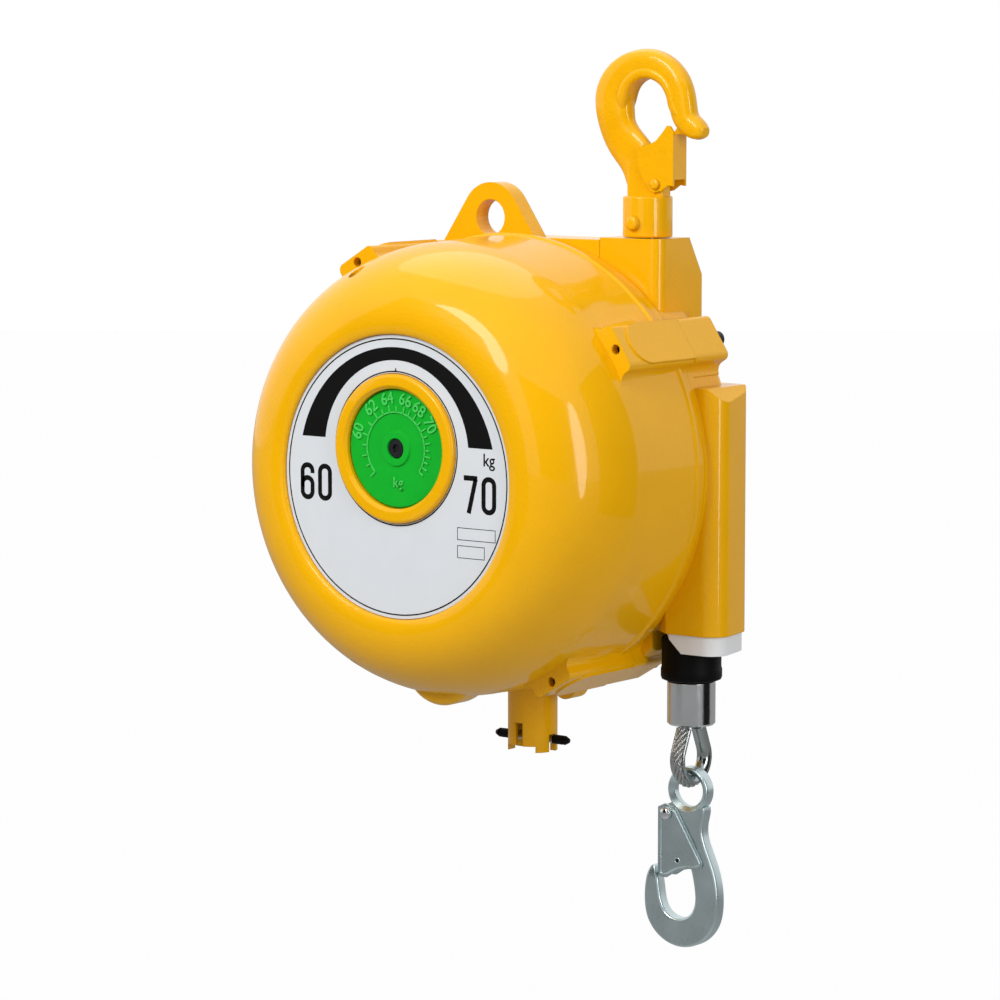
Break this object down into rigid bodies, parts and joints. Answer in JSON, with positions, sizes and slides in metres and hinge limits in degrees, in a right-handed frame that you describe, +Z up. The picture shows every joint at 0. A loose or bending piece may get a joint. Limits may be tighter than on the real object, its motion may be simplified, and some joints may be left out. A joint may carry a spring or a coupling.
{
  "type": "spring balancer",
  "caption": "Spring-loaded tool balancer: bell-shaped case hung from a swivel hook, tapered rope drum with mainspring inside, wire rope ending in a latched load hook.",
  "frame": {"origin": "bearing point inside the upper hook, on its swivel axis", "axes": "+Z up along the swivel axis, -Y towards the dial side, +X towards the rope side"},
  "size_m": [0.296, 0.186, 0.5646],
  "materials": {
    "yellow_cast_paint": "gloss paint over fine cast texture",
    "yellow_paint": "gloss paint over a forged surface",
    "white_plastic": "satin",
    "silver_plate": "printed satin sheet",
    "green_plastic": "moulded",
    "black_rubber": "matt",
    "plain_steel": "machined",
    "dark_steel": "black oxide",
    "zinc_steel": "zinc plated forging",
    "aluminium": "cast and turned",
    "pressed_aluminium": "pressed sleeve",
    "wire_rope": "stranded wire",
    "bronze": "machined",
    "brass": "machined",
    "blued_spring": "blued strip"
  },
  "bodies": {
    "case": {"front_case": "yellow_cast_paint", "rear_case": "yellow_cast_paint", "case_screws": "dark_steel", "cable_guide": "white_plastic", "dial_plate": "silver_plate", "lock_tube": "yellow_cast_paint"},
    "hook_swivel": {"upper_hook": "yellow_paint", "swivel_bolt": "plain_steel", "swivel_cross_pin": "yellow_paint", "thrust_washer": "plain_steel", "swivel_nut": "plain_steel", "hook_latch_rivet": "yellow_paint"},
    "hook_latch": {"hook_latch": "yellow_paint"},
    "drum": {"rope_drum": "aluminium", "rope_turns": "wire_rope", "spring_barrel": "plain_steel", "barrel_cover": "plain_steel", "front_bearing": "bronze", "rear_bearing": "bronze", "mainspring": "blued_spring", "barrel_screws": "dark_steel"},
    "rope_end": {"rope_fall": "wire_rope", "rope_stop": "black_rubber", "rope_ferrule": "pressed_aluminium", "rope_eye": "wire_rope", "thimble": "zinc_steel"},
    "load_hook": {"load_hook": "zinc_steel", "load_latch_rivet": "zinc_steel"},
    "load_latch": {"load_latch": "zinc_steel"},
    "arbor": {"spring_arbor": "plain_steel", "worm_wheel": "bronze", "dial_pinion": "brass"},
    "worm": {"worm_rod": "plain_steel"},
    "dial": {"load_dial": "green_plastic", "dial_gear": "plain_steel", "dial_screw": "dark_steel"},
    "drum_lock": {"lock_plunger": "plain_steel", "lock_bar": "plain_steel", "lock_bar_caps": "black_rubber"}
  },
  "joints": [
    {"name": "hook_swivel", "type": "hinge", "parent": "case", "child": "hook_swivel", "pos_m": [0, 0, -0.0985], "axis": [0, 0, 1], "continuous": true},
    {"name": "hook_latch", "type": "hinge", "parent": "hook_swivel", "child": "hook_latch", "pos_m": [0.0107, 0, -0.0648], "axis": [0, -1, 0], "range_deg": [0, 30], "stiffness_Nm_per_rad": 0.06, "springref_deg": -20.05},
    {"name": "drum_spin", "type": "hinge", "parent": "case", "child": "drum", "pos_m": [-0.0821, 0, -0.2417], "axis": [0, 1, 0], "range_deg": [0, 735]},
    {"name": "rope_pull", "type": "slide", "parent": "case", "child": "rope_end", "axis": [0, 0, -1], "range_m": [0, 1.51], "deforming": ["rope_fall"]},
    {"name": "load_hook_swing", "type": "hinge", "parent": "rope_end", "child": "load_hook", "pos_m": [0.0349, 0, -0.4397], "axis": [0, 1, 0], "range_deg": [-60, 60]},
    {"name": "load_latch", "type": "hinge", "parent": "load_hook", "child": "load_latch", "pos_m": [0.0202, 0, -0.4605], "axis": [0, -1, 0], "range_deg": [0, 25], "stiffness_Nm_per_rad": 0.05, "springref_deg": -20.05},
    {"name": "spring_adjust", "type": "hinge", "parent": "case", "child": "arbor", "pos_m": [-0.0821, 0, -0.2417], "axis": [0, 1, 0], "range_deg": [-1, 221]},
    {"name": "worm_turn", "type": "hinge", "parent": "case", "child": "worm", "pos_m": [-0.13, -0.1283, -0.2417], "axis": [0, 0, 1], "range_deg": [-6600, 0]},
    {"name": "dial_turn", "type": "hinge", "parent": "case", "child": "dial", "pos_m": [-0.0821, 0, -0.2241], "axis": [0, 1, 0], "range_deg": [-133, 1]},
    {"name": "lock_slide", "type": "slide", "parent": "case", "child": "drum_lock", "axis": [0, 0, -1], "range_m": [0, 0.008]}
  ],
  "couplings": [
    {"joint": "rope_pull", "follows": "drum_spin", "m_per_rad": 0.117},
    {"joint": "spring_adjust", "follows": "worm_turn", "ratio": -0.033333},
    {"joint": "dial_turn", "follows": "worm_turn", "ratio": 0.02}
  ]
}
